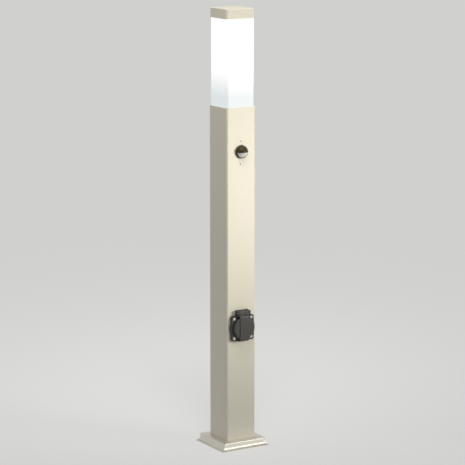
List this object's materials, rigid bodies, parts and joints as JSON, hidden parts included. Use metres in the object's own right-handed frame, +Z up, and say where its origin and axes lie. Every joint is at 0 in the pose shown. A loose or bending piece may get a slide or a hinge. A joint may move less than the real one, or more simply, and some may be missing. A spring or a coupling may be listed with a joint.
{
  "type": "bollard light with socket",
  "caption": "Square steel garden bollard with an opal light head, a swivelling motion sensor, a lidded flush socket and a loose base cover over its anchor plate.",
  "frame": {"origin": "on the ground, at the post's axis", "axes": "+Z up along the post; -Y out of the front face with socket and sensor; +X to the right as seen from the front"},
  "size_m": [0.105, 0.105, 0.8551],
  "materials": {
    "satin_steel": "satin, warm grey",
    "cap_steel": "satin",
    "cover_steel": "polished",
    "plate_steel": "galvanised, dull",
    "bright_screw": "polished",
    "socket_plastic": "fine moulded grain",
    "lid_plastic": "fine moulded grain",
    "insert_plastic": "smooth",
    "carrier_plastic": "moulded",
    "black_rubber": "matt",
    "pale_rubber": "matt silicone",
    "contact_brass": "bright",
    "hood_plastic": "satin, dark bronze",
    "lens_plastic": "milky, ribbed inside",
    "board_green": "lacquered board",
    "opal_acrylic": "opal, lit from inside",
    "block_plastic": "moulded",
    "glazed_ceramic": "glazed",
    "lamp_metal": "rolled thread",
    "bulb_glass": "frosted",
    "spring_steel": "drawn wire",
    "lead_sheath": "matt",
    "wire_insulation": "matt"
  },
  "bodies": {
    "post": {"base_plate": "plate_steel", "cable_grommet": "black_rubber", "post_tube": "satin_steel", "terminal_block": "block_plastic", "terminal_screws": "contact_brass", "earth_stud": "contact_brass", "sensor_housing": "carrier_plastic", "sensor_hood": "hood_plastic", "sensor_screws": "bright_screw", "socket_gasket": "black_rubber", "socket_housing": "socket_plastic", "socket_insert": "insert_plastic", "socket_back": "carrier_plastic", "earth_bow": "contact_brass", "contact_live": "contact_brass", "contact_neutral": "contact_brass", "insert_screw": "bright_screw", "socket_terminal_screws": "contact_brass", "socket_screws": "bright_screw", "socket_nuts": "plate_steel", "hinge_pin": "spring_steel", "lid_spring": "spring_steel", "lamp_bracket": "plate_steel", "head_screws": "bright_screw", "diffuser_seal": "pale_rubber", "diffuser": "opal_acrylic", "cap_seal": "pale_rubber", "top_cap": "cap_steel", "lampholder_body": "glazed_ceramic", "lampholder_shell": "contact_brass", "lampholder_contact": "contact_brass", "lampholder_screws": "bright_screw", "lamp_cap": "lamp_metal", "lamp_bulb": "bulb_glass", "socket_leads": "wire_insulation", "sensor_lead": "lead_sheath", "lamp_lead": "lead_sheath"},
    "base_cover": {"base_cover": "cover_steel"},
    "lid": {"socket_lid": "lid_plastic", "lid_seal": "black_rubber"},
    "sensor_swivel": {"sensor_swivel": "carrier_plastic"},
    "sensor_eye": {"sensor_ball": "hood_plastic", "sensor_lens": "lens_plastic", "sensor_board": "board_green", "pyro_element": "lamp_metal"}
  },
  "joints": [
    {"name": "cover_lift", "type": "slide", "parent": "post", "child": "base_cover", "axis": [0, 0, 1], "range_m": [0, 0.19]},
    {"name": "lid_hinge", "type": "hinge", "parent": "post", "child": "lid", "pos_m": [0, -0.041, 0.2703], "axis": [-1, 0, 0], "range_deg": [0, 110], "stiffness_Nm_per_rad": 0.008, "springref_deg": -28.65, "deforming": ["lid_spring"]},
    {"name": "sensor_pan", "type": "hinge", "parent": "post", "child": "sensor_swivel", "pos_m": [0, -0.0335, 0.583], "axis": [0, 0, 1], "range_deg": [-25, 25]},
    {"name": "sensor_tilt", "type": "hinge", "parent": "sensor_swivel", "child": "sensor_eye", "pos_m": [0, -0.0335, 0.583], "axis": [1, 0, 0], "range_deg": [-20, 20]}
  ]
}
